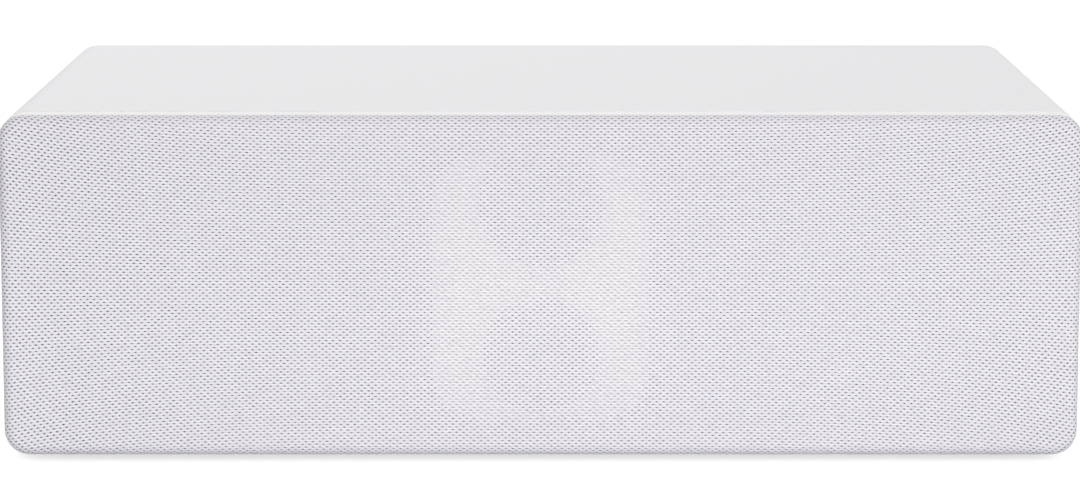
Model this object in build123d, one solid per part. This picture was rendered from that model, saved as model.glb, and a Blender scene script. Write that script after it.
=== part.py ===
from build123d import *
import os

# Horizontal three-way centre loudspeaker: a white box with a knitted cloth grille over its whole front.
# Millimetres, +Z up, the front faces -Y, the origin is on the floor under the middle of the box.

# Cabinet
cabinet_width = 500
cabinet_height = 160
cabinet_depth = 295
cabinet_wall = 12
corner_radius = 12
rear_edge_chamfer = 1
baffle_thickness = 18
rear_panel_thickness = 12
rear_panel_recess = 3
brace_thickness = 12
brace_rim = 24
foot_height = 3
foot_radius = 9
foot_taper = 1
foot_inset = 40

# Grille
grille_depth = 15
grille_edge_radius = 5
cloth_thickness = 0.8
frame_side_rail = 26
frame_long_rail = 15
frame_relief = 1
mullion_width = 10
mullion_depth = 6
peg_radius = 3
peg_length = 9
peg_side_inset = 19
peg_top_inset = 24
peg_fit = 0.05
socket_radius = 5
socket_floor = 2
socket_end_gap = 1

# Plate with the midrange and tweeter openings
plate_width = 101
plate_margin = 17.75
plate_corner_radius = 23
plate_thickness = 3
plate_drop = 2
tweeter_overshoot = 6.55
midrange_margin = 2.55
opening_web = 14.7
opening_difference = 2.1

# Woofers
woofer_inset = 102
woofer_margin = 14
woofer_flange_width = 12
woofer_flange_thickness = 2.5
woofer_hole_clearance = 1
basket_wall = 2
basket_depth = 46
basket_window_count = 6
basket_window_width = 24
basket_window_front = 12
basket_window_back = 31
spider_seat_depth = 34
spider_seat_radius = 38
spider_seat_width = 5
spider_thickness = 0.8
woofer_motor_radius = 40
woofer_motor_length = 32
woofer_gap_depth = 24
woofer_coil_radius = 12.6
woofer_coil_wall = 1
woofer_coil_overlap = 12
woofer_roll_width = 8
woofer_cone_depth = 21.5
woofer_cone_thickness = 1.4
woofer_cap_radius = 18
woofer_cap_height = 7
woofer_roll_height = 4
woofer_lip = 3
woofer_rubber = 0.8
dust_cap_thickness = 0.8

# Midrange
midrange_flange_overlap = 4.6
midrange_flange_thickness = 3
midrange_housing_overlap = 1.1
midrange_housing_wall = 3
midrange_housing_depth = 44
midrange_motor_radius = 20
midrange_motor_length = 18
midrange_gap_depth = 11
midrange_coil_radius = 7.7
midrange_coil_wall = 0.8
midrange_coil_overlap = 6
midrange_roll_width = 5.5
midrange_cone_depth = 9
midrange_cone_thickness = 1
midrange_cap_radius = 10
midrange_cap_height = 3.5
midrange_roll_height = 2
midrange_lip = 1.5
midrange_rubber = 0.6

# Tweeter
tweeter_body_radius = 20
tweeter_flange_thickness = 3.5
tweeter_rim = 2.5
tweeter_throat_radius = 13.5
tweeter_throat_depth = 2
tweeter_body_depth = 4
tweeter_motor_length = 20
dome_radius = 12.7
dome_rim = 3
dome_height = 4.5
dome_thickness = 0.6

# Reflex ports
port_inset = 100
port_radius = 22
port_wall = 2
port_length = 110
port_flare_width = 5
port_flare_depth = 8
port_flange_width = 8
port_flange_thickness = 2.5

# Terminal cup and binding posts
cup_width = 78
cup_height = 52
cup_depth = 26
cup_wall = 2
cup_corner_radius = 8
cup_flange_width = 7
cup_flange_thickness = 2.5
post_spacing = 32
post_radius = 3
post_length = 18
post_collar_radius = 6.5
post_collar_thickness = 3
post_tail_length = 8
banana_radius = 2
banana_depth = 16
cap_radius = 7
cap_length = 15
cap_flute_count = 12
cap_flute_radius = 1.2
cap_flute_outset = 0.4
cap_fit = 0.05

# Crossover
board_side_gap = 9.75
board_depth = 80
board_thickness = 1.6
board_spacer_height = 6
board_spacer_radius = 4
board_spacer_inset = 8
board_rear_gap = 40
coil_outer_radius = 22
coil_hole_radius = 10
coil_height = 20
small_coil_scale = 0.7
capacitor_radius = 8
capacitor_margin = 4
resistor_length = 24
resistor_width = 9
resistor_room = 15

# Clearances and small edges
motor_bevel = 2
fit_gap = 0.3
glue_line = 0.1

# Places worked out from the sizes above, front to back along Y
overall_depth = cabinet_depth + grille_depth
cloth_front = -overall_depth / 2
baffle_front = cloth_front + grille_depth
baffle_back = baffle_front + baffle_thickness
cabinet_back = overall_depth / 2
rear_panel_back = cabinet_back - rear_panel_recess
rear_panel_front = rear_panel_back - rear_panel_thickness
inner_width = cabinet_width - 2 * cabinet_wall
inner_height = cabinet_height - 2 * cabinet_wall
centre_z = foot_height + cabinet_height / 2
floor_z = foot_height + cabinet_wall
plate_height = cabinet_height - 2 * plate_margin
plate_z = centre_z - plate_drop
openings_height = plate_height + tweeter_overshoot - opening_web - midrange_margin
tweeter_opening_radius = openings_height / 4 + opening_difference / 2
midrange_opening_radius = openings_height / 4 - opening_difference / 2
tweeter_z = plate_z + plate_height / 2 + tweeter_overshoot - tweeter_opening_radius
midrange_z = plate_z - plate_height / 2 + midrange_margin + midrange_opening_radius
midrange_flange_radius = midrange_opening_radius + midrange_flange_overlap
midrange_housing_radius = midrange_opening_radius + midrange_housing_overlap
midrange_inner_radius = midrange_housing_radius - midrange_housing_wall
midrange_cone_radius = midrange_inner_radius - midrange_roll_width
woofer_x = cabinet_width / 2 - woofer_inset
woofer_flange_radius = cabinet_height / 2 - woofer_margin
basket_mouth_radius = woofer_flange_radius - woofer_flange_width
woofer_cone_radius = basket_mouth_radius - woofer_roll_width
woofer_hole_radius = basket_mouth_radius + basket_wall + woofer_hole_clearance
divider_x = (plate_width / 2 + woofer_x - woofer_hole_radius) / 2
port_x = cabinet_width / 2 - port_inset
peg_x = cabinet_width / 2 - peg_side_inset
peg_z = cabinet_height / 2 - peg_top_inset
peg_places = [(x, centre_z + z) for x in (-peg_x, peg_x) for z in (-peg_z, peg_z)]
woofer_sides = {"left": -woofer_x, "right": woofer_x}
port_sides = {"left": -port_x, "right": port_x}
post_sides = {"positive": -post_spacing / 2, "negative": post_spacing / 2}
inner_outline = Pos(0, centre_z) * Rectangle(inner_width, inner_height)
standing = (Align.CENTER, Align.CENTER, Align.MIN)


def slab(sketch, front, back):
    """Extrude a sketch drawn in (x, z) between two planes across Y."""
    plane = Plane(origin=(0, back, 0), x_dir=(1, 0, 0), z_dir=(0, -1, 0))
    return extrude(plane * sketch, amount=back - front)


def turned(outline, x, z):
    """Revolve a closed (radius, y) outline about the Y direction through (x, z)."""
    return Pos(x, 0, z) * revolve(make_face(Polyline(*outline, close=True)), Axis.Y)


def front_edges(solid):
    """The edges round a solid's foremost flat face."""
    return solid.faces().sort_by(Axis.Y)[0].edges()


def cup_outline(grow):
    """The terminal recess's rounded outline, grown by one amount all round."""
    radius = cup_corner_radius + grow
    return Pos(0, centre_z) * RectangleRounded(cup_width + 2 * grow, cup_height + 2 * grow, radius)


# Cabinet

def cabinet_sleeve():
    outline = Pos(0, centre_z) * RectangleRounded(cabinet_width, cabinet_height, corner_radius)
    shell = slab(outline, baffle_front, cabinet_back)
    shell = chamfer(shell.faces().sort_by(Axis.Y)[-1].edges(), rear_edge_chamfer)
    return shell - slab(inner_outline, baffle_front, cabinet_back)


def front_baffle():
    panel = slab(inner_outline, baffle_front, baffle_back)
    for x in woofer_sides.values():
        panel -= slab(Pos(x, centre_z) * Circle(woofer_hole_radius), baffle_front, baffle_back)
    tweeter_hole = Circle(tweeter_body_radius + fit_gap)
    panel -= slab(Pos(0, tweeter_z) * tweeter_hole, baffle_front, baffle_back)
    midrange_hole = Circle(midrange_housing_radius + fit_gap)
    panel -= slab(Pos(0, midrange_z) * midrange_hole, baffle_front, baffle_back)
    rebate = Circle(midrange_flange_radius + fit_gap)
    panel -= slab(Pos(0, midrange_z) * rebate, baffle_front, baffle_front + midrange_flange_thickness)
    socket_hole = Circle(socket_radius + peg_fit)
    socket_back = baffle_front + peg_length + socket_end_gap + socket_floor
    for x, z in peg_places:
        panel -= slab(Pos(x, z) * socket_hole, baffle_front, socket_back)
    return panel


def rear_panel():
    panel = slab(inner_outline, rear_panel_front, rear_panel_back)
    panel -= slab(cup_outline(cup_wall + fit_gap), rear_panel_front, rear_panel_back)
    port_hole = Circle(port_radius + port_wall + fit_gap)
    for x in port_sides.values():
        panel -= slab(Pos(x, centre_z) * port_hole, rear_panel_front, rear_panel_back)
    return panel


def brace(x):
    depth = rear_panel_front - baffle_back
    middle = Pos(x, (rear_panel_front + baffle_back) / 2, centre_z)
    window = Box(brace_thickness, depth - 2 * brace_rim, inner_height - 2 * brace_rim)
    return middle * (Box(brace_thickness, depth, inner_height) - window)


def feet():
    foot = Cone(foot_radius - foot_taper, foot_radius, foot_height, align=standing)
    spread_x = cabinet_width / 2 - foot_inset
    front_y = baffle_front + foot_inset
    back_y = cabinet_back - foot_inset
    return [Pos(x, y, 0) * foot for x in (-spread_x, spread_x) for y in (front_y, back_y)]


# Grille

def grille_shell(inset, edge_radius):
    """The grille's rounded tray shape, moved in from the outer face of the cloth."""
    width = cabinet_width - 2 * inset
    height = cabinet_height - 2 * inset
    outline = Pos(0, centre_z) * RectangleRounded(width, height, corner_radius - inset)
    shell = slab(outline, cloth_front + inset, baffle_front)
    return fillet(front_edges(shell), edge_radius)


def grille_frame():
    """Two long rails, two side rails butted between them and two shallow bars, glued into one frame."""
    window_width = cabinet_width - 2 * frame_side_rail
    window_height = cabinet_height - 2 * frame_long_rail
    window = Pos(0, centre_z) * Rectangle(window_width, window_height)
    for x in woofer_sides.values():
        window += Pos(x, centre_z) * Circle(woofer_flange_radius + frame_relief)
    window += Pos(0, tweeter_z) * Circle(tweeter_opening_radius + frame_relief)
    ring = grille_shell(cloth_thickness, grille_edge_radius) - slab(window, cloth_front, baffle_front)
    rail_z = (window_height + frame_long_rail) / 2
    rail_x = (window_width + frame_side_rail) / 2
    long_rail = Rectangle(cabinet_width, frame_long_rail)
    side_rail = Rectangle(frame_side_rail, window_height)
    rails = [(long_rail, 0, -rail_z), (long_rail, 0, rail_z), (side_rail, -rail_x, 0), (side_rail, rail_x, 0)]
    pieces = []
    for rail, x, z in rails:
        pieces.append(ring & slab(Pos(x, centre_z + z) * rail, cloth_front, baffle_front))
    bar = Rectangle(mullion_width, window_height)
    bar_front = cloth_front + cloth_thickness
    for x in (-divider_x, divider_x):
        pieces.append(slab(Pos(x, centre_z) * bar, bar_front, bar_front + mullion_depth))
    return pieces


def grille_pegs():
    """Round pegs on the back of the frame that push into the sockets in the baffle."""
    peg = Circle(peg_radius)
    return [slab(Pos(x, z) * peg, baffle_front, baffle_front + peg_length) for x, z in peg_places]


def grille_cloth():
    outside = grille_shell(0, grille_edge_radius + cloth_thickness)
    return outside - grille_shell(cloth_thickness, grille_edge_radius)


def grille_sockets():
    bore_back = baffle_front + peg_length + socket_end_gap
    cup_outline = [
        (peg_radius + peg_fit, baffle_front),
        (socket_radius, baffle_front),
        (socket_radius, bore_back + socket_floor),
        (0, bore_back + socket_floor),
        (0, bore_back),
        (peg_radius + peg_fit, bore_back),
    ]
    return [turned(cup_outline, x, z) for x, z in peg_places]


# Plate between the woofers

def driver_plate():
    outline = Pos(0, plate_z) * RectangleRounded(plate_width, plate_height, plate_corner_radius)
    outline -= Pos(0, tweeter_z) * Circle(tweeter_opening_radius)
    outline -= Pos(0, midrange_z) * Circle(midrange_opening_radius)
    return slab(outline, baffle_front - plate_thickness, baffle_front)


# Woofers

flange_front = baffle_front - woofer_flange_thickness
basket_back = baffle_front + basket_depth
spider_seat = baffle_front + spider_seat_depth
cone_neck = flange_front + woofer_cone_depth
coil_outer = woofer_coil_radius + woofer_coil_wall
cone_front_depth = woofer_cone_depth - woofer_cone_thickness


def woofer_basket(x):
    seat_inner = spider_seat_radius - spider_seat_width
    back_hole = coil_outer + 2 * fit_gap
    outline = [
        (woofer_flange_radius, flange_front),
        (basket_mouth_radius, flange_front),
        (basket_mouth_radius, baffle_front),
        (spider_seat_radius, spider_seat),
        (seat_inner, spider_seat),
        (seat_inner, basket_back - basket_wall),
        (back_hole, basket_back - basket_wall),
        (back_hole, basket_back),
        (seat_inner + basket_wall, basket_back),
        (basket_mouth_radius + basket_wall, baffle_front),
        (woofer_flange_radius, baffle_front),
    ]
    basket = turned(outline, x, centre_z)
    window_length = basket_window_back - basket_window_front
    window_y = baffle_front + (basket_window_front + basket_window_back) / 2
    reach = woofer_flange_radius - spider_seat_width
    window = Pos(reach / 2 + coil_outer, window_y, 0) * Box(reach, window_length, basket_window_width)
    for step in range(basket_window_count):
        basket -= Pos(x, 0, centre_z) * Rot(0, 360 * step / basket_window_count, 0) * window
    return basket


def driver_motor(x, z, front, radius, length, gap_depth, coil_radius, coil_wall):
    """A closed magnet can with the ring-shaped gap that the voice coil runs in."""
    pole = coil_radius - fit_gap
    gap_outer = coil_radius + coil_wall + fit_gap
    outline = [
        (0, front),
        (pole, front),
        (pole, front + gap_depth),
        (gap_outer, front + gap_depth),
        (gap_outer, front),
        (radius, front),
        (radius, front + length - motor_bevel),
        (radius - motor_bevel, front + length),
        (0, front + length),
    ]
    return turned(outline, x, z)


def voice_coil(x, z, neck, end, coil_radius, coil_wall):
    outline = [
        (coil_radius, neck),
        (coil_radius + coil_wall, neck),
        (coil_radius + coil_wall, end),
        (coil_radius, end),
    ]
    return turned(outline, x, z)


def driver_cone(x, z, front, radius, depth, thickness, coil_radius, coil_wall):
    """A cone from its rim to the neck that its voice coil is glued to."""
    outline = [
        (radius, front),
        (radius, front + thickness),
        (coil_radius + coil_wall, front + depth),
        (coil_radius, front + depth),
        (coil_radius, front + depth - thickness),
    ]
    return turned(outline, x, z)


def dome(x, z, edge, radius, height, thickness):
    """A thin spherical cap that bulges forward from its edge plane."""
    ball_radius = (radius ** 2 + height ** 2) / (2 * height)
    shell = Sphere(ball_radius) - Sphere(ball_radius - thickness)
    wide = 3 * ball_radius
    keep = Pos(0, height / 2 - ball_radius, 0) * Box(wide, height, wide)
    return Pos(x, edge - height + ball_radius, z) * (shell & keep)


def dust_cap(x, z, front, cone, depth, coil_radius, radius, height):
    """A dome glued to the front surface of a cone."""
    seat = front + depth * (cone - radius) / (cone - coil_radius)
    return dome(x, z, seat - glue_line, radius, height, dust_cap_thickness)


def roll_surround(x, z, base, inner, outer, lip, height, thickness):
    """A rolled edge that bridges the cone's rim and the basket, with a flat lip on each."""
    shoulder = (outer - inner) / 4
    outline = [
        (inner - lip, base),
        (inner, base),
        (inner + shoulder, base - height + thickness),
        (outer - shoulder, base - height + thickness),
        (outer, base),
        (outer + lip, base),
        (outer + lip, base - thickness),
        (outer - shoulder + thickness, base - height),
        (inner + shoulder - thickness, base - height),
        (inner - lip, base - thickness),
    ]
    return turned(outline, x, z)


def spider(x):
    outline = [
        (coil_outer + fit_gap, spider_seat - spider_thickness),
        (spider_seat_radius - fit_gap, spider_seat - spider_thickness),
        (spider_seat_radius - fit_gap, spider_seat),
        (coil_outer + fit_gap, spider_seat),
    ]
    return turned(outline, x, centre_z)


def woofer(side, x):
    """One woofer's pieces by node name."""
    coil_end = basket_back + woofer_coil_overlap
    name = "woofer_" + side + "_"
    return {
        name + "basket": woofer_basket(x),
        name + "motor": driver_motor(x, centre_z, basket_back, woofer_motor_radius, woofer_motor_length,
                                     woofer_gap_depth, woofer_coil_radius, woofer_coil_wall),
        name + "voice_coil": voice_coil(x, centre_z, cone_neck, coil_end, woofer_coil_radius,
                                        woofer_coil_wall),
        name + "cone": driver_cone(x, centre_z, flange_front, woofer_cone_radius, woofer_cone_depth,
                                   woofer_cone_thickness, woofer_coil_radius, woofer_coil_wall),
        name + "dust_cap": dust_cap(x, centre_z, flange_front, woofer_cone_radius, cone_front_depth,
                                    woofer_coil_radius, woofer_cap_radius, woofer_cap_height),
        name + "surround": roll_surround(x, centre_z, flange_front, woofer_cone_radius, basket_mouth_radius,
                                         woofer_lip, woofer_roll_height, woofer_rubber),
        name + "spider": spider(x),
    }


# Midrange

midrange_back = baffle_front + midrange_housing_depth
midrange_motor_front = midrange_back - midrange_housing_wall - midrange_motor_length
midrange_neck = baffle_front + midrange_cone_depth


def midrange_housing():
    outline = [
        (midrange_inner_radius, baffle_front),
        (midrange_flange_radius, baffle_front),
        (midrange_flange_radius, baffle_front + midrange_flange_thickness),
        (midrange_housing_radius, baffle_front + midrange_flange_thickness),
        (midrange_housing_radius, midrange_back),
        (0, midrange_back),
        (0, midrange_back - midrange_housing_wall),
        (midrange_inner_radius, midrange_back - midrange_housing_wall),
    ]
    return turned(outline, 0, midrange_z)


def midrange():
    """The midrange's pieces by node name."""
    coil_end = midrange_motor_front + midrange_coil_overlap
    front_depth = midrange_cone_depth - midrange_cone_thickness
    return {
        "midrange_housing": midrange_housing(),
        "midrange_motor": driver_motor(0, midrange_z, midrange_motor_front, midrange_motor_radius,
                                       midrange_motor_length, midrange_gap_depth, midrange_coil_radius,
                                       midrange_coil_wall),
        "midrange_voice_coil": voice_coil(0, midrange_z, midrange_neck, coil_end, midrange_coil_radius,
                                          midrange_coil_wall),
        "midrange_cone": driver_cone(0, midrange_z, baffle_front, midrange_cone_radius, midrange_cone_depth,
                                     midrange_cone_thickness, midrange_coil_radius, midrange_coil_wall),
        "midrange_dust_cap": dust_cap(0, midrange_z, baffle_front, midrange_cone_radius, front_depth,
                                      midrange_coil_radius, midrange_cap_radius, midrange_cap_height),
        "midrange_surround": roll_surround(0, midrange_z, baffle_front, midrange_cone_radius,
                                           midrange_inner_radius, midrange_lip, midrange_roll_height,
                                           midrange_rubber),
    }


# Tweeter

dome_seat = baffle_front + tweeter_body_depth


def tweeter_faceplate():
    faceplate_radius = tweeter_opening_radius - fit_gap
    front = baffle_front - tweeter_flange_thickness
    outline = [
        (faceplate_radius, front),
        (faceplate_radius, baffle_front),
        (tweeter_body_radius, baffle_front),
        (tweeter_body_radius, dome_seat),
        (tweeter_throat_radius, dome_seat),
        (tweeter_throat_radius, baffle_front + tweeter_throat_depth),
        (faceplate_radius - tweeter_rim, front),
    ]
    return turned(outline, 0, tweeter_z)


def tweeter_dome():
    rim = [
        (dome_radius - dome_thickness, dome_seat),
        (dome_radius + dome_rim, dome_seat),
        (dome_radius + dome_rim, dome_seat + dome_thickness),
        (dome_radius - dome_thickness, dome_seat + dome_thickness),
    ]
    cap = dome(0, tweeter_z, dome_seat, dome_radius, dome_height, dome_thickness)
    return cap + turned(rim, 0, tweeter_z)


def tweeter_motor():
    rim_back = dome_seat + dome_thickness
    back = rim_back + tweeter_motor_length
    outline = [
        (0, rim_back),
        (tweeter_body_radius, rim_back),
        (tweeter_body_radius, back - motor_bevel),
        (tweeter_body_radius - motor_bevel, back),
        (0, back),
    ]
    return turned(outline, 0, tweeter_z)


# Reflex ports

def port_tube(x):
    outside = rear_panel_back + port_flange_thickness
    straight_back = outside - port_flare_depth
    inner_end = straight_back - port_length
    mouth_radius = port_radius + port_flare_width
    outline = [
        (port_radius, inner_end),
        (port_radius + port_wall, inner_end),
        (port_radius + port_wall, rear_panel_back),
        (port_radius + port_flange_width, rear_panel_back),
        (port_radius + port_flange_width, outside),
        (mouth_radius, outside),
        (port_radius, straight_back),
    ]
    return turned(outline, x, centre_z)


# Terminal cup and binding posts

cup_outside = rear_panel_back + cup_flange_thickness
cup_floor = cup_outside - cup_depth
cap_flute_circle = cap_radius + cap_flute_outset


def terminal_cup():
    cup = slab(cup_outline(cup_flange_width), rear_panel_back, cup_outside)
    cup += slab(cup_outline(cup_wall), cup_floor - cup_wall, rear_panel_back)
    cup -= slab(cup_outline(0), cup_floor, cup_outside)
    for x in post_sides.values():
        cup -= slab(Pos(x, centre_z) * Circle(post_radius + cap_fit), cup_floor - cup_wall, cup_floor)
    return cup


def binding_post(x):
    collar_top = cup_floor + post_collar_thickness
    tip = collar_top + post_length
    outline = [
        (0, cup_floor - cup_wall - post_tail_length),
        (post_radius, cup_floor - cup_wall - post_tail_length),
        (post_radius, cup_floor),
        (post_collar_radius, cup_floor),
        (post_collar_radius, collar_top),
        (post_radius, collar_top),
        (post_radius, tip),
        (banana_radius, tip),
        (banana_radius, tip - banana_depth),
        (0, tip - banana_depth),
    ]
    return turned(outline, x, centre_z)


def post_cap(x):
    """A fluted screw cap, tightened down to just clear of its post's collar."""
    near = cup_floor + post_collar_thickness + fit_gap
    outline = Circle(cap_radius) - Circle(post_radius + cap_fit)
    outline -= PolarLocations(cap_flute_circle, cap_flute_count) * Circle(cap_flute_radius)
    return slab(Pos(x, centre_z) * outline, near, near + cap_length)


# Crossover

board_bottom = floor_z + board_spacer_height
board_top = board_bottom + board_thickness
board_centre_y = rear_panel_front - board_rear_gap - board_depth / 2
board_width = 2 * (divider_x - brace_thickness / 2 - board_side_gap)
capacitor_length = board_width / 2 - capacitor_margin - resistor_room


def crossover():
    """The crossover's pieces by node name, built up from the box's floor."""
    board = Box(board_width, board_depth, board_thickness, align=standing)
    spread_x = board_width / 2 - board_spacer_inset
    spread_y = board_depth / 2 - board_spacer_inset
    spacer = Cylinder(board_spacer_radius, board_spacer_height, align=standing)
    corners = [(x, board_centre_y + y) for x in (-spread_x, spread_x) for y in (-spread_y, spread_y)]
    spacers = [Pos(x, y, floor_z) * spacer for x, y in corners]
    coil = Cylinder(coil_outer_radius, coil_height, align=standing)
    coil -= Cylinder(coil_hole_radius, coil_height, align=standing)
    coil_x = board_width / 2 - coil_outer_radius
    back_row = board_centre_y + board_depth / 2 - coil_outer_radius
    front_row = board_centre_y - board_depth / 2
    inductors = [
        Pos(-coil_x, back_row, board_top) * coil,
        Pos(coil_x, back_row, board_top) * scale(coil, small_coil_scale),
    ]
    can = Rot(0, 90, 0) * Cylinder(capacitor_radius, capacitor_length)
    can_y = front_row + capacitor_radius
    can_x = resistor_room + capacitor_length / 2
    capacitors = [Pos(side * can_x, can_y, board_top + capacitor_radius) * can for side in (-1, 1)]
    block = Box(resistor_width, resistor_length, resistor_width, align=standing)
    block_y = front_row + resistor_length / 2
    resistors = [Pos(side * resistor_room / 2, block_y, board_top) * block for side in (-1, 1)]
    return {
        "crossover_board": Pos(0, board_centre_y, board_bottom) * board,
        "board_spacers": spacers,
        "inductors": inductors,
        "capacitors": capacitors,
        "resistors": resistors,
    }


def whole_speaker():
    nodes = {
        "cabinet_sleeve": cabinet_sleeve(),
        "front_baffle": front_baffle(),
        "rear_panel": rear_panel(),
        "brace_left": brace(-divider_x),
        "brace_right": brace(divider_x),
        "feet": feet(),
        "grille_frame": grille_frame(),
        "grille_pegs": grille_pegs(),
        "grille_cloth": grille_cloth(),
        "grille_sockets": grille_sockets(),
        "driver_plate": driver_plate(),
        "tweeter_faceplate": tweeter_faceplate(),
        "tweeter_dome": tweeter_dome(),
        "tweeter_motor": tweeter_motor(),
        "terminal_cup": terminal_cup(),
    }
    for side, x in woofer_sides.items():
        nodes.update(woofer(side, x))
    nodes.update(midrange())
    for side, x in port_sides.items():
        nodes["port_tube_" + side] = port_tube(x)
    for side, x in post_sides.items():
        nodes[side + "_post"] = binding_post(x)
        nodes[side + "_cap"] = post_cap(x)
    nodes.update(crossover())
    return nodes


os.makedirs("parts", exist_ok=True)
for node, shape in whole_speaker().items():
    if isinstance(shape, list):
        shape = Compound(children=shape)
    export_step(shape, "parts/" + node + ".step")
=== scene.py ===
import bpy
import random
from math import cos, hypot, pi, radians, sin
from mathutils import Matrix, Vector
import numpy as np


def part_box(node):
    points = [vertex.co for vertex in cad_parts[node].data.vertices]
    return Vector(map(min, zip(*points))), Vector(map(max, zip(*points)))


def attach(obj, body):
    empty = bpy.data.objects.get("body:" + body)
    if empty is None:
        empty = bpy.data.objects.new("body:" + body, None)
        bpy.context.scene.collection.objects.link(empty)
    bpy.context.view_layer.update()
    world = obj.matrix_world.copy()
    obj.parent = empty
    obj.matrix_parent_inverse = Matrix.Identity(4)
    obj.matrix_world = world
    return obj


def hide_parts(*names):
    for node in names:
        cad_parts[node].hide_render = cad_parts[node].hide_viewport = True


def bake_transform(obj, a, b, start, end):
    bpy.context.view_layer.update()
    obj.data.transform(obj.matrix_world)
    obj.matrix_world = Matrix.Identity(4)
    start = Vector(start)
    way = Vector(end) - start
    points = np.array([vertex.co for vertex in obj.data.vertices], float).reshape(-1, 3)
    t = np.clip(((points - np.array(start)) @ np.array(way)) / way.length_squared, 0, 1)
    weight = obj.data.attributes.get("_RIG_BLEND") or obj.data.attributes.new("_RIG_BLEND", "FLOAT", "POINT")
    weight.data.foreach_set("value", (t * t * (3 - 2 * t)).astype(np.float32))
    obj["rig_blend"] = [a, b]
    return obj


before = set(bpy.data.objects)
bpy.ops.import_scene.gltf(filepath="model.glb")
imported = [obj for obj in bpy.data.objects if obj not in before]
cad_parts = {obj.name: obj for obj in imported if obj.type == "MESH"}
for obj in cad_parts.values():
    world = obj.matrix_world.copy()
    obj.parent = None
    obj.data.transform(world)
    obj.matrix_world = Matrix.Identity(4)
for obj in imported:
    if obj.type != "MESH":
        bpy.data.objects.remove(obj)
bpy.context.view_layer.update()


# Node and colour helpers

def linear(code):
    """An sRGB hex colour as the linear RGBA that sockets take."""
    parts = [int(code[place:place + 2], 16) / 255 for place in (1, 3, 5)]
    return [p / 12.92 if p <= 0.04045 else ((p + 0.055) / 1.055) ** 2.4 for p in parts] + [1]


def add(tree, kind, inputs=None, **settings):
    """Add one node, set its properties, and set or link its input sockets."""
    made = tree.nodes.new(kind)
    for key, value in settings.items():
        setattr(made, key, value)
    for key, value in (inputs or {}).items():
        if isinstance(value, bpy.types.NodeSocket):
            tree.links.new(value, made.inputs[key])
        else:
            made.inputs[key].default_value = value
    return made


def blank(name):
    """A material with only its output node: the material, its tree and the output."""
    material = bpy.data.materials.new(name)
    material.use_nodes = True
    material.node_tree.nodes.clear()
    return material, material.node_tree, add(material.node_tree, "ShaderNodeOutputMaterial")


def per(millimetres):
    """The texture scale, on coordinates in metres, whose grain is this many millimetres wide."""
    return 1000 / millimetres


# Finishes

def grained(name, pale, dark, grain, relief, rough, rough_spread, metallic=0.0, coat=0.0, shine=0.5,
            stretch=(1, 1, 1)):
    """A surface with a grain of its own size: two tones, uneven gloss and a relief in millimetres."""
    material, tree, out = blank(name)
    place = add(tree, "ShaderNodeTexCoord").outputs["Object"]
    place = add(tree, "ShaderNodeMapping", {"Vector": place, "Scale": stretch}).outputs["Vector"]
    noise = add(tree, "ShaderNodeTexNoise", {"Vector": place, "Scale": per(grain), "Detail": 4.0})
    tone = add(tree, "ShaderNodeMix", {"Factor": noise.outputs["Fac"], 6: linear(dark), 7: linear(pale)},
               data_type="RGBA")
    gloss = add(tree, "ShaderNodeMapRange", {
        "Value": noise.outputs["Fac"], "To Min": rough - rough_spread, "To Max": rough + rough_spread})
    bump = add(tree, "ShaderNodeBump", {
        "Height": noise.outputs["Fac"], "Distance": relief / 1000, "Strength": 1.0})
    shader = add(tree, "ShaderNodeBsdfPrincipled", {
        "Base Color": tone.outputs[2], "Roughness": gloss.outputs["Result"], "Metallic": metallic,
        "Normal": bump.outputs["Normal"], "Coat Weight": coat, "Coat Roughness": 0.12,
        "Specular IOR Level": shine})
    tree.links.new(shader.outputs["BSDF"], out.inputs["Surface"])
    return material


# Blender's wave texture has this many bands to a unit of its coordinates at scale 1
wave_bands = 20 / (2 * pi)


def wound_copper(name, axis, wire):
    """Enamelled copper wire laid side by side: bright bands across the axis, and painted shade as a dark
    line between turns.

    The wire is drawn coarser than the real 0.3 mm, because that is too fine to show in a render.
    """
    material, tree, out = blank(name)
    place = add(tree, "ShaderNodeTexCoord").outputs["Object"]
    turns = add(tree, "ShaderNodeTexWave", {
        "Vector": place, "Scale": per(wire) / wave_bands, "Distortion": 0.0},
        wave_type="BANDS", bands_direction=axis, wave_profile="SIN").outputs["Fac"]
    # Darker between turns: painted shade in the grooves between the wires
    tone = add(tree, "ShaderNodeMix", {"Factor": turns, 6: linear("#6b341a"), 7: linear("#c87a45")},
               data_type="RGBA")
    bump = add(tree, "ShaderNodeBump", {"Height": turns, "Distance": wire / 4000, "Strength": 1.0})
    shader = add(tree, "ShaderNodeBsdfPrincipled", {
        "Base Color": tone.outputs[2], "Metallic": 1.0, "Roughness": 0.32, "Coat Weight": 0.5,
        "Coat Roughness": 0.1, "Normal": bump.outputs["Normal"]})
    tree.links.new(shader.outputs["BSDF"], out.inputs["Surface"])
    return material


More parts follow.
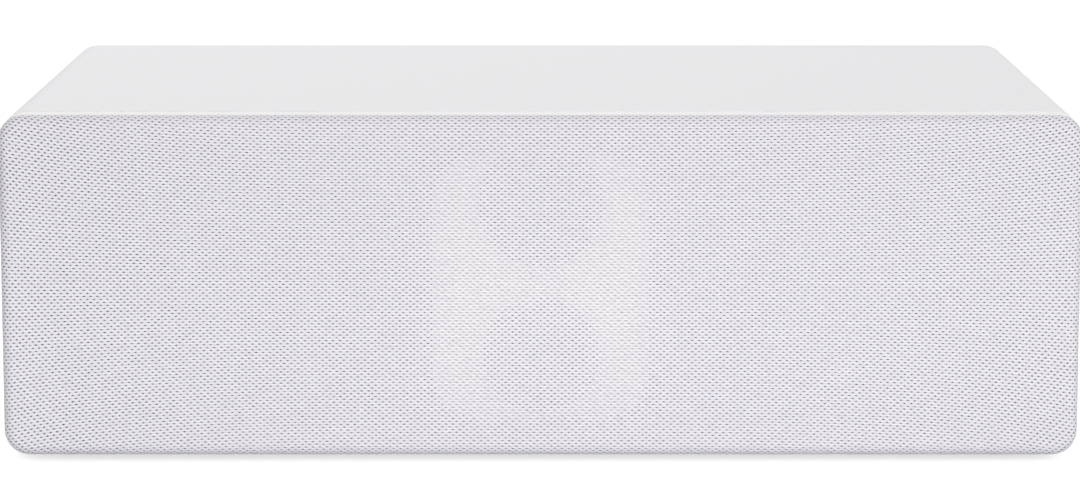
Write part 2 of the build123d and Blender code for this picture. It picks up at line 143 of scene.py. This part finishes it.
def woven_cloth(name, pale, dark, thread, rough, coat):
    """A plain weave with a doped or resin finish: threads over and under in a small check."""
    material, tree, out = blank(name)
    place = add(tree, "ShaderNodeTexCoord").outputs["Object"]
    checks = []
    for axis in ("X", "Z"):
        wave = add(tree, "ShaderNodeTexWave", {
            "Vector": place, "Scale": per(2 * thread) / wave_bands, "Distortion": 0.2},
            wave_type="BANDS", bands_direction=axis, wave_profile="SIN")
        checks.append(wave.outputs["Fac"])
    weave = add(tree, "ShaderNodeMath", {0: checks[0], 1: checks[1]}, operation="MULTIPLY").outputs[0]
    tone = add(tree, "ShaderNodeMix", {"Factor": weave, 6: linear(dark), 7: linear(pale)}, data_type="RGBA")
    bump = add(tree, "ShaderNodeBump", {"Height": weave, "Distance": thread / 5000, "Strength": 0.8})
    shader = add(tree, "ShaderNodeBsdfPrincipled", {
        "Base Color": tone.outputs[2], "Roughness": rough, "Coat Weight": coat, "Coat Roughness": 0.3,
        "Normal": bump.outputs["Normal"]})
    tree.links.new(shader.outputs["BSDF"], out.inputs["Surface"])
    return material


def polyester_knit():
    """Open warp knit of white polyester: matt, with its loops in ridges between the rows, and painted shade
    in the hollows between rows and round each eyelet.

    Round an eyelet the yarn is thin, so what lies behind it shows as a soft pale or dark dot.
    """
    material, tree, out = blank("polyester_knit")
    flat = add(tree, "ShaderNodeUVMap", uv_map="OFBake").outputs["UV"]
    half_waves = (knit_columns * pi, knit_rows * pi, 1)
    place = add(tree, "ShaderNodeMapping", {"Vector": flat, "Scale": half_waves})
    place = add(tree, "ShaderNodeSeparateXYZ", {"Vector": place.outputs["Vector"]})
    across = add(tree, "ShaderNodeMath", {0: place.outputs["X"]}, operation="COSINE").outputs[0]
    along = add(tree, "ShaderNodeMath", {0: place.outputs["Y"]}, operation="COSINE").outputs[0]
    dip = add(tree, "ShaderNodeMath", {0: across, 1: along}, operation="MULTIPLY").outputs[0]
    furrow = add(tree, "ShaderNodeMath", {0: along, 1: along}, operation="MULTIPLY").outputs[0]
    rim = add(tree, "ShaderNodeMath", {0: dip, 1: furrow}, operation="MULTIPLY").outputs[0]
    dip = add(tree, "ShaderNodeMapRange", {
        "Value": dip, "From Min": -1.0, "From Max": 1.0, "To Max": 1 - ridge_share}).outputs["Result"]
    hollow = add(tree, "ShaderNodeMath", {0: furrow, 1: ridge_share, 2: dip}, operation="MULTIPLY_ADD")
    loops = add(tree, "ShaderNodeMath", {0: 1.0, 1: hollow.outputs[0]}, operation="SUBTRACT").outputs[0]
    tight = add(tree, "ShaderNodeAttribute", attribute_name="over_edge").outputs["Fac"]
    # Over the frame's edge the tone is paler: partly stretched yarn, partly a painted highlight along the
    # rounded edge
    relief_and_painted_shade = add(tree, "ShaderNodeMath", {0: loops, 1: tight}, operation="MAXIMUM").outputs[0]
    spot = add(tree, "ShaderNodeTexCoord").outputs["Object"]
    noise = add(tree, "ShaderNodeTexNoise", {"Vector": spot, "Scale": per(0.8), "Detail": 2.0})
    uneven = add(tree, "ShaderNodeMapRange", {
        "Value": noise.outputs["Fac"], "From Min": 0.25, "From Max": 0.75,
        "To Min": -yarn_uneven, "To Max": yarn_uneven})
    shade = add(tree, "ShaderNodeMath", {0: relief_and_painted_shade, 1: uneven.outputs["Result"]}, operation="ADD")
    # Tone: painted shade, darker in the hollows between rows and round each eyelet
    tone = add(tree, "ShaderNodeMix",
               {"Factor": shade.outputs[0], 6: linear("#dbd6e5"), 7: linear("#fbf9fb")},
               data_type="RGBA")
    bump = add(tree, "ShaderNodeBump", {"Height": relief_and_painted_shade, "Distance": 0.0002, "Strength": 0.6})
    yarn = add(tree, "ShaderNodeBsdfPrincipled", {
        "Base Color": tone.outputs[2], "Roughness": 0.9, "Sheen Weight": 0.1,
        "Normal": bump.outputs["Normal"]})
    glow = add(tree, "ShaderNodeBsdfTranslucent", {"Color": linear("#f4f4de")})
    thin = add(tree, "ShaderNodeMapRange", {
        "Value": rim, "From Min": 0.1, "From Max": 0.8, "To Min": show_through, "To Max": rim_through})
    through = add(tree, "ShaderNodeMapRange", {
        "Value": tight, "To Min": thin.outputs["Result"], "To Max": 0.0})
    both = add(tree, "ShaderNodeMixShader", {
        "Fac": through.outputs["Result"], 1: yarn.outputs["BSDF"], 2: glow.outputs["BSDF"]})
    tree.links.new(both.outputs["Shader"], out.inputs["Surface"])
    return material


# Knit of the grille cloth: the distance from one column and row to the next in metres, and their number
knit_column = 0.00163
knit_row = 0.001315
knit_columns = 336
knit_rows = 156
# Half sizes of an eyelet, in columns and rows, and how much they vary
eyelet_wide = 0.375
eyelet_tall = 0.185
eyelet_spread = 0.18
# Share of the light that the yarn lets through, over most of it and round an eyelet
show_through = 0.17
rim_through = 0.55
# Share of the relief, and of the painted shade that follows it, that is ridges between the rows, the rest
# being a dip round each eyelet
ridge_share = 0.58
# How much the yarn's tone strays
yarn_uneven = 0.14
# How far an eyelet is pulled open: in the middle, more at both ends, and more on the left than on the right
open_middle = 0.83
open_ends = 0.25
open_left = 0.04
# How far the rows fan out and the columns draw together at the ends, and half the front's width in metres
row_fan = 0.18
column_draw = 0.11
half_front = 0.25
# The fan stops growing at this share of half the front, where the cloth goes round the side
fan_limit = 1.1
# The cloth over its frame, in metres: its round edge, its corner, and how far it lies inside its solid
cloth_edge = 0.0055
cloth_corner = 0.0117
cloth_inset = 0.0003
cloth_back_gap = 0.0002
# How far the ridges of the yarn stand out, and the rims of its eyelets lie in, in metres
yarn_lift = 0.0001
# The corner of the front's outline, in metres
outline_corner = 0.012
# Beyond that outline, where the relief starts to fade and over how far
fade_from = 0.0005
fade_over = 0.002
# Beyond that outline, where the eyelets close and where the cloth ends
closed_from = 0.0018
cloth_end = 0.0125

# Satin white lacquer over fibreboard: even, with little shine and a faint orange peel
lacquer = grained("satin_white_lacquer", "#f3f2f4", "#f0eff1",
                  grain=2.5, relief=0.01, rough=0.6, rough_spread=0.03, shine=0.14)
# Black painted fibreboard: matt, with the stipple of a roller
painted_board = grained("black_painted_fibreboard", "#1c1c20", "#121215",
                        grain=1.6, relief=0.12, rough=0.8, rough_spread=0.06)
# Bare fibreboard: tan, with short pressed fibres
bare_board = grained("bare_fibreboard", "#c19c70", "#8d6b45",
                     grain=1.2, relief=0.1, rough=0.9, rough_spread=0.04)
# Moulded rubber: black, dull, faintly grained
rubber = grained("moulded_rubber", "#1a1a1c", "#0e0e10",
                 grain=0.9, relief=0.05, rough=0.72, rough_spread=0.08)
# Spark-textured black ABS: fine even grain, soft sheen
black_abs = grained("textured_black_abs", "#1b1b1e", "#131316",
                    grain=0.8, relief=0.05, rough=0.55, rough_spread=0.06)
# Spark-textured off-white ABS: warm and a shade greyer than the cloth, pale enough to fill its eyelets
white_abs = grained("textured_white_abs", "#e2e0da", "#dad8d2",
                    grain=0.8, relief=0.04, rough=0.5, rough_spread=0.05)
# Pressed paper pulp: charcoal, with felted fibres
cone_pulp = grained("pressed_cone_pulp", "#2a2a2d", "#161618",
                    grain=1.4, relief=0.12, rough=0.82, rough_spread=0.06)
# Zinc-plated steel: cool grey metal, a little cloudy
zinc_steel = grained("zinc_plated_steel", "#c9ccd0", "#a4a8ad",
                     grain=6.0, relief=0.01, rough=0.34, rough_spread=0.08, metallic=1.0)
# Black powder coat over pressed steel: low gloss with orange peel
powder_coat = grained("black_powder_coat", "#19191b", "#0f0f11",
                      grain=1.0, relief=0.06, rough=0.5, rough_spread=0.08)
# Gilt brass, lathe turned: warm bright metal with fine rings along its length
gilt_brass = grained("turned_gilt_brass", "#e6c473", "#c79d48",
                     grain=0.5, relief=0.01, rough=0.22, rough_spread=0.06, metallic=1.0,
                     stretch=(0.1, 1, 0.1))
# Moulded polycarbonate caps, red and black: high gloss under a clear coat
red_cap_plastic = grained("gloss_red_polycarbonate", "#b3161c", "#8f0d13",
                          grain=3.0, relief=0.01, rough=0.2, rough_spread=0.04, coat=0.6)
black_cap_plastic = grained("gloss_black_polycarbonate", "#1a1a1c", "#101012",
                            grain=3.0, relief=0.01, rough=0.2, rough_spread=0.04, coat=0.6)
# Green glass-epoxy laminate: mottled green with a thin gloss
laminate = grained("green_glass_epoxy", "#2f7044", "#1c4f2d",
                   grain=1.5, relief=0.02, rough=0.4, rough_spread=0.06, coat=0.3)
# Wrapped capacitor film: brick red, half gloss
wrapped_film = grained("wrapped_capacitor_film", "#a5402c", "#7e2718",
                       grain=4.0, relief=0.03, rough=0.32, rough_spread=0.05, coat=0.4)
# Cast ceramic: chalky off-white, dull
cast_ceramic = grained("cast_ceramic", "#e4dfd3", "#cbc5b6",
                       grain=0.7, relief=0.06, rough=0.85, rough_spread=0.05)
# Black oxide on steel screws: dark grey metal, half dull
black_oxide = grained("black_oxide_steel", "#3a3a3d", "#242427",
                      grain=0.6, relief=0.01, rough=0.4, rough_spread=0.08, metallic=1.0)
# Doped silk: near black, in a fine weave with a soft sheen
doped_silk = woven_cloth("doped_silk", "#242428", "#141417", thread=0.5, rough=0.45, coat=0.3)
# Resin-stiffened cotton: tan and dull, in a coarser weave
resin_cotton = woven_cloth("resin_cotton", "#c9974f", "#8a5f2a", thread=0.9, rough=0.8, coat=0.0)
# Enamelled copper windings: warm bright turns, with painted shade as a dark line between them
coil_copper = wound_copper("wound_coil_copper", axis="Y", wire=0.6)
choke_copper = wound_copper("wound_choke_copper", axis="Z", wire=1.0)
# Polyester knit: white with a faint violet cast, in rows of fine soft dots, with painted shade in its
# hollows
knit = polyester_knit()

finishes = {
    lacquer: ["cabinet_sleeve", "rear_panel"],
    painted_board: ["front_baffle"],
    bare_board: ["brace_left", "brace_right"],
    rubber: ["feet", "grille_sockets", "woofer_left_surround", "woofer_right_surround",
             "midrange_surround"],
    black_abs: ["grille_frame", "grille_pegs", "tweeter_faceplate", "terminal_cup", "midrange_housing",
                "port_tube_left", "port_tube_right", "board_spacers"],
    white_abs: ["driver_plate"],
    cone_pulp: ["woofer_left_cone", "woofer_right_cone", "midrange_cone", "woofer_left_dust_cap",
                "woofer_right_dust_cap", "midrange_dust_cap"],
    zinc_steel: ["woofer_left_motor", "woofer_right_motor", "midrange_motor", "tweeter_motor"],
    powder_coat: ["woofer_left_basket", "woofer_right_basket"],
    gilt_brass: ["positive_post", "negative_post"],
    red_cap_plastic: ["positive_cap"],
    black_cap_plastic: ["negative_cap"],
    laminate: ["crossover_board"],
    wrapped_film: ["capacitors"],
    cast_ceramic: ["resistors"],
    doped_silk: ["tweeter_dome"],
    resin_cotton: ["woofer_left_spider", "woofer_right_spider"],
    coil_copper: ["woofer_left_voice_coil", "woofer_right_voice_coil", "midrange_voice_coil"],
    choke_copper: ["inductors"],
    knit: ["grille_cloth"],
}
for finish, names in finishes.items():
    for name in names:
        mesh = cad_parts[name].data
        mesh.materials.clear()
        mesh.materials.append(finish)


# Grille cloth

cloth_low, cloth_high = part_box("grille_cloth")
middle_z = (cloth_low[2] + cloth_high[2]) / 2


def over_the_edge(s, t, lift):
    """Where a point of the flat cloth lies once it is pulled over the frame.

    It is on the face, on the rounded edge or on the side, and lifted outwards there.
    """
    half_wide = cloth_high[0] - cloth_inset - cloth_edge
    half_high = (cloth_high[2] - cloth_low[2]) / 2 - cloth_inset - cloth_edge
    turn = cloth_corner - cloth_edge
    a = abs(s) - (half_wide - turn)
    b = abs(t) - (half_high - turn)
    if a > 0 and b > 0:
        far = hypot(a, b)
        out_x, out_z = a / far, b / far
        past = far - turn
        foot_x, foot_z = half_wide - turn + out_x * turn, half_high - turn + out_z * turn
    elif a > b:
        out_x, out_z, past, foot_x, foot_z = 1.0, 0.0, a - turn, half_wide, abs(t)
    else:
        out_x, out_z, past, foot_x, foot_z = 0.0, 1.0, b - turn, abs(s), half_high
    face = cloth_low[1] + cloth_inset
    if past <= 0:
        return s, face - lift, middle_z + t
    bend = min(past / cloth_edge, pi / 2)
    reach = (cloth_edge + lift) * sin(bend)
    down_side = max(past - cloth_edge * pi / 2, 0)
    back = face + cloth_edge - (cloth_edge + lift) * cos(bend) + down_side
    x = foot_x + out_x * reach
    z = foot_z + out_z * reach
    return (x if s > 0 else -x), min(back, cloth_high[1] - cloth_back_gap), middle_z + (z if t > 0 else -z)


def flat_place(column, row):
    """A knit position on the flat cloth: rows fan out and columns draw together towards both ends."""
    along = min(abs(column * knit_column) / half_front, fan_limit)
    # A fifth, because the spacing is the slope of a fifth power
    s = column * knit_column * (1 - column_draw / 5 * along ** 4)
    return s, row * knit_row * (1 + row_fan * along ** 4)


def side_past(s, t):
    """How far beyond the front's outline a flat point lies, in metres."""
    a = abs(s) - (cloth_high[0] - outline_corner)
    b = abs(t) - ((cloth_high[2] - cloth_low[2]) / 2 - outline_corner)
    if a > 0 and b > 0:
        return hypot(a, b) - outline_corner
    return max(a, b) - outline_corner


def eyelet_size(s):
    """How far an eyelet is pulled open: least near the middle, most at the left end."""
    along = s / cloth_high[0]
    return open_middle + open_ends * along * along - open_left * along


def knitted_cloth():
    """The cloth as a net of yarn: four strips round each eyelet, staggered from row to row.

    Over the frame's edge the yarn lies closed, so each eyelet is one whole face there.
    """
    half_columns, half_rows = knit_columns // 2, knit_rows // 2
    points, spots, tight, faces, index = [], [], [], [], {}
    uneven = random.Random(5)

    def vertex(column, row, lift):
        key = (round(column, 3), round(row, 3))
        if key not in index:
            index[key] = len(points)
            s, t = flat_place(column, row)
            points.append(over_the_edge(s, t, lift))
            spots.append((column / knit_columns + 0.5, row / knit_rows + 0.5))
            tight.append(min(max((side_past(s, t) - fade_from) / fade_over, 0), 1))
        return index[key]

    for column in range(-half_columns, half_columns + 1):
        for row in range(-half_rows, half_rows + 1):
            s, t = flat_place(column, row)
            past = side_past(s, t)
            if (column + row) % 2 or past > cloth_end:
                continue
            ring = ((1, 0), (0, 1), (-1, 0), (0, -1))
            outer = [vertex(column + c, row + r, yarn_lift) for c, r in ring]
            if past > closed_from:
                faces.append(outer)
                continue
            wide = eyelet_wide * (1 + uneven.uniform(-eyelet_spread, eyelet_spread)) * eyelet_size(s)
            tall = eyelet_tall * (1 + uneven.uniform(-eyelet_spread, eyelet_spread)) * eyelet_size(s)
            inner = [vertex(column + c * wide, row + r * tall, -yarn_lift) for c, r in ring]
            for k in range(4):
                n = (k + 1) % 4
                faces.append((outer[k], outer[n], inner[n], inner[k]))
    mesh = bpy.data.meshes.new("knitted_grille_cloth")
    mesh.from_pydata(points, [], faces)
    mesh.attributes.new("over_edge", "FLOAT", "POINT").data.foreach_set("value", tight)
    unfold = mesh.uv_layers.new(name="OFBake")
    for loop in mesh.loops:
        unfold.data[loop.index].uv = spots[loop.vertex_index]
    mesh.materials.append(knit)
    cloth = bpy.data.objects.new("knitted_grille_cloth", mesh)
    bpy.context.scene.collection.objects.link(cloth)
    return cloth


cloth = knitted_cloth()
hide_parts("grille_cloth")
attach(cloth, "grille")


# Surrounds and spiders

# Points nearer than this are at one place, in metres
one_place = 0.00001


def pick(piece, test):
    """Open one object alone in edit mode, with the vertices selected whose place passes the test."""
    bpy.ops.object.select_all(action="DESELECT")
    piece.select_set(True)
    bpy.context.view_layer.objects.active = piece
    bpy.ops.object.mode_set(mode="EDIT")
    bpy.ops.mesh.select_mode(type="VERT")
    bpy.ops.mesh.select_all(action="DESELECT")
    bpy.ops.object.mode_set(mode="OBJECT")
    for vertex in piece.data.vertices:
        vertex.select = test(vertex.co)
    bpy.ops.object.mode_set(mode="EDIT")


def spun(piece, name, x, z, thickness):
    """Turn an open section about the driver's axis, close its seam and give it its thickness."""
    pick(piece, lambda place: True)
    bpy.ops.mesh.spin(steps=96, angle=2 * pi, center=(x, 0, z), axis=(0, 1, 0))
    bpy.ops.mesh.select_all(action="SELECT")
    bpy.ops.mesh.remove_doubles(threshold=one_place)
    bpy.ops.mesh.normals_make_consistent(inside=False)
    bpy.ops.object.mode_set(mode="OBJECT")
    wall = piece.modifiers.new("wall", "SOLIDIFY")
    wall.thickness = thickness
    wall.offset = 0
    bpy.ops.object.modifier_apply(modifier=wall.name)
    bpy.ops.object.shade_smooth_by_angle(angle=radians(50))
    piece.name = name
    piece.data.name = name


def stretch_between(piece, cone, x, z, inner, outer):
    """Fix a flexing piece to the basket at its outer edge and to the moving cone at its inner edge."""
    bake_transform(piece, "cabinet", cone, start=(x + outer, 0, z), end=(x + inner, 0, z))
    shares = piece.data.attributes["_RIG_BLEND"].data
    for vertex, share in zip(piece.data.vertices, shares):
        reach = hypot(vertex.co.x - x, vertex.co.z - z)
        t = min(max((outer - reach) / (outer - inner), 0), 1)
        share.value = t * t * (3 - 2 * t)


def rolled_surround(node, cone, roll, lip, thickness):
    """A half-round rubber roll with a flat lip each side, one glued to the cone and one to the basket."""
    low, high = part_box(node)
    x, z = (low[0] + high[0]) / 2, (low[2] + high[2]) / 2
    outer = (high[0] - low[0]) / 2 - lip
    middle = outer - roll / 2
    base = high[1] - thickness / 2
    bpy.ops.object.select_all(action="DESELECT")
    bpy.ops.mesh.primitive_circle_add(vertices=32, radius=roll / 2, location=(x + middle, base, z))
    piece = bpy.context.object
    bpy.ops.object.transform_apply(location=True, rotation=True, scale=True)
    pick(piece, lambda place: place.y > base + one_place)
    bpy.ops.mesh.delete(type="VERT")
    bpy.ops.object.mode_set(mode="OBJECT")
    rise = (high[1] - low[1] - thickness) / (roll / 2)
    pick(piece, lambda place: True)
    bpy.ops.transform.resize(value=(1, rise, 1), center_override=(x + middle, base, z))
    for side in (-1, 1):
        end = x + middle + side * roll / 2
        bpy.ops.object.mode_set(mode="OBJECT")
        pick(piece, lambda place: abs(place.x - end) < one_place)
        bpy.ops.mesh.extrude_region_move(TRANSFORM_OT_translate={"value": (side * lip, 0, 0)})
    bpy.ops.object.mode_set(mode="OBJECT")
    spun(piece, "rolled_" + node, x, z, thickness)
    piece.data.materials.append(rubber)
    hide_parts(node)
    stretch_between(piece, cone, x, z, middle - roll / 2, outer)


def corrugated_spider(node, cone, inner, waves, swell, flat, thickness):
    """A cloth disc pressed into rings, flat where it is glued to the basket's seat."""
    low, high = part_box(node)
    x, z = (low[0] + high[0]) / 2, (low[2] + high[2]) / 2
    outer = (high[0] - low[0]) / 2
    rim = outer - flat
    base = (low[1] + high[1]) / 2
    bpy.ops.object.select_all(action="DESELECT")
    bpy.ops.mesh.primitive_grid_add(x_subdivisions=8 * waves + 4, y_subdivisions=1, size=1)
    piece = bpy.context.object
    pick(piece, lambda place: place.y > 0)
    bpy.ops.mesh.delete(type="VERT")
    bpy.ops.object.mode_set(mode="OBJECT")
    for vertex in piece.data.vertices:
        reach = inner + (vertex.co.x + 0.5) * (outer - inner)
        phase = (rim - reach) / (rim - inner) * waves
        vertex.co = (x + reach, base - (swell * sin(2 * pi * phase) if reach < rim else 0), z)
    spun(piece, "corrugated_" + node, x, z, thickness)
    piece.data.materials.append(resin_cotton)
    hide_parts(node)
    stretch_between(piece, cone, x, z, inner, rim)


for side in ("left", "right"):
    driver = "woofer_" + side
    rolled_surround(driver + "_surround", driver + "_moving", roll=0.008, lip=0.003, thickness=0.0008)
    corrugated_spider(driver + "_spider", driver + "_moving", inner=0.0141, waves=5, swell=0.0009,
                      flat=0.0045, thickness=0.0006)
rolled_surround("midrange_surround", "midrange_moving", roll=0.0055, lip=0.0015, thickness=0.0006)


# Screws

def cross_head(radius, rise):
    """A pan head facing the front, with a rounded rim and a cross recess, standing at the origin."""
    rim = rise * 0.6
    blade_wide, blade_deep = radius * 0.28, rise * 1.2
    bpy.ops.object.select_all(action="DESELECT")
    bpy.ops.mesh.primitive_cylinder_add(vertices=24, radius=radius, depth=rise, location=(0, -rise / 2, 0),
                                        rotation=(pi / 2, 0, 0))
    head = bpy.context.object
    bpy.ops.object.transform_apply(location=True, rotation=True, scale=True)
    pick(head, lambda place: place.y < -rise / 2)
    bpy.ops.mesh.bevel(offset=rim, segments=3, affect="EDGES")
    bpy.ops.object.mode_set(mode="OBJECT")
    for wide, tall in ((radius, blade_wide), (blade_wide, radius)):
        bpy.ops.object.select_all(action="DESELECT")
        bpy.ops.mesh.primitive_cube_add(size=1, location=(0, -rise, 0), scale=(wide, blade_deep, tall))
        blade = bpy.context.object
        bpy.ops.object.select_all(action="DESELECT")
        head.select_set(True)
        bpy.context.view_layer.objects.active = head
        recess = head.modifiers.new("recess", "BOOLEAN")
        recess.operation = "DIFFERENCE"
        recess.object = blade
        bpy.ops.object.modifier_apply(modifier=recess.name)
        bpy.data.objects.remove(blade)
    bpy.ops.object.shade_smooth_by_angle(angle=radians(40))
    return head


def screws(name, head, places, turn):
    """Copies of one screw head at their places, joined into one piece that the cabinet carries."""
    copies = []
    for place in places:
        copy = head.copy()
        copy.data = head.data.copy()
        copy.data.transform(Matrix.Translation(place) @ Matrix.Rotation(turn, 4, "Z"))
        bpy.context.scene.collection.objects.link(copy)
        copies.append(copy)
    bpy.ops.object.select_all(action="DESELECT")
    for copy in copies:
        copy.select_set(True)
    bpy.context.view_layer.objects.active = copies[0]
    bpy.ops.object.join()
    piece = copies[0]
    piece.name = name
    piece.data.name = name
    piece.data.materials.append(black_oxide)
    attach(piece, "cabinet")


# Screws from a flange's rim, and from the cup's middle across and up, in metres
flange_screw_inset = 0.0045
cup_screw_x = 0.0391
cup_screw_z = 0.0261

flange_head = cross_head(radius=0.0032, rise=0.0016)
for side in ("left", "right"):
    low_corner, high_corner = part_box("woofer_" + side + "_basket")
    x, z = (low_corner[0] + high_corner[0]) / 2, (low_corner[2] + high_corner[2]) / 2
    ring = (high_corner[0] - low_corner[0]) / 2 - flange_screw_inset
    turns = [radians(30 + 60 * step) for step in range(6)]
    places = [(x + ring * cos(a), low_corner[1], z + ring * sin(a)) for a in turns]
    screws("woofer_" + side + "_screws", flange_head, places, turn=0)
bpy.data.objects.remove(flange_head)

cup_low, cup_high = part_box("terminal_cup")
cup_head = cross_head(radius=0.0026, rise=0.0004)
cup_z = (cup_low[2] + cup_high[2]) / 2
cup_signs = [(h, v) for h in (-1, 1) for v in (-1, 1)]
cup_places = [(h * cup_screw_x, cup_high[1], cup_z + v * cup_screw_z) for h, v in cup_signs]
screws("terminal_cup_screws", cup_head, cup_places, turn=pi)
bpy.data.objects.remove(cup_head)


# Camera, at the photograph's place: a long lens 1.9 m off, looking 9 degrees down

camera = bpy.data.objects.new("photo_camera", bpy.data.cameras.new("photo_camera"))
camera.data.lens = 128.6
camera.data.sensor_width = 36
camera.location = (0, -1.9115, 0.379)
camera.rotation_euler = (radians(90 - 9.01), 0, radians(0.011))
bpy.context.scene.collection.objects.link(camera)
bpy.context.scene.camera = camera


# Floor and light

# What directly seen floor gains, and the sky's strength as light and as it is seen
floor_lift = 0.62
sky_light = 0.55
sky_seen = 1.0
# Just under the feet, so that two faces don't lie in one plane
floor_z = -0.0002


def seen_rays(tree):
    """One for camera, glossy and transmission rays, and nought for all others."""
    path = add(tree, "ShaderNodeLightPath").outputs
    seen = add(tree, "ShaderNodeMath", {0: path["Is Camera Ray"], 1: path["Is Glossy Ray"]},
               operation="MAXIMUM").outputs[0]
    return add(tree, "ShaderNodeMath", {0: seen, 1: path["Is Transmission Ray"]},
               operation="MAXIMUM").outputs[0]


def pale_floor():
    """A plain white floor that keeps the shadow, lifted to white for rays that see it directly."""
    material, tree, out = blank("pale_studio_floor")
    lift = add(tree, "ShaderNodeMath", {0: seen_rays(tree), 1: floor_lift}, operation="MULTIPLY")
    glow = add(tree, "ShaderNodeEmission", {"Color": (1, 1, 1, 1), "Strength": lift.outputs[0]})
    matt = add(tree, "ShaderNodeBsdfDiffuse", {"Color": linear("#dadada")})
    both = add(tree, "ShaderNodeAddShader", {0: matt.outputs["BSDF"], 1: glow.outputs["Emission"]})
    tree.links.new(both.outputs["Shader"], out.inputs["Surface"])
    bpy.ops.object.select_all(action="DESELECT")
    bpy.ops.mesh.primitive_plane_add(size=12, location=(0, 0, floor_z))
    floor = bpy.context.object
    floor.name = "studio_floor"
    floor.data.materials.append(material)


def soft_light(name, place, tilt, turn, wide, tall, watts):
    """A soft box at a place, tilted up from straight down and turned about the vertical, in degrees."""
    lamp = bpy.data.lights.new(name, "AREA")
    lamp.shape = "RECTANGLE"
    lamp.size, lamp.size_y, lamp.energy = wide, tall, watts
    holder = bpy.data.objects.new(name, lamp)
    holder.location = place
    holder.rotation_euler = (radians(tilt), 0, radians(turn))
    bpy.context.scene.collection.objects.link(holder)


def studio_world():
    """An even white sky: soft fill light, and plain white where it is seen."""
    world = bpy.data.worlds.new("studio_world")
    bpy.context.scene.world = world
    world.use_nodes = True
    tree = world.node_tree
    tree.nodes.clear()
    strength = add(tree, "ShaderNodeMapRange", {
        "Value": seen_rays(tree), "To Min": sky_light, "To Max": sky_seen})
    sky = add(tree, "ShaderNodeBackground", {"Color": (1, 1, 1, 1), "Strength": strength.outputs["Result"]})
    out = add(tree, "ShaderNodeOutputWorld")
    tree.links.new(sky.outputs["Background"], out.inputs["Surface"])


bpy.context.scene.view_settings.view_transform = "Standard"
pale_floor()
studio_world()
soft_light("front_right_box", (0.8, -2.8, 0.9), tilt=74, turn=16, wide=2.4, tall=1.6, watts=47)
soft_light("rear_top_box", (-0.5, 1.3, 2.0), tilt=35, turn=201, wide=1.4, tall=1.4, watts=15.3)
soft_light("low_front_strip", (0, -0.36, 0.012), tilt=98, turn=0, wide=0.7, tall=0.02, watts=0.17)
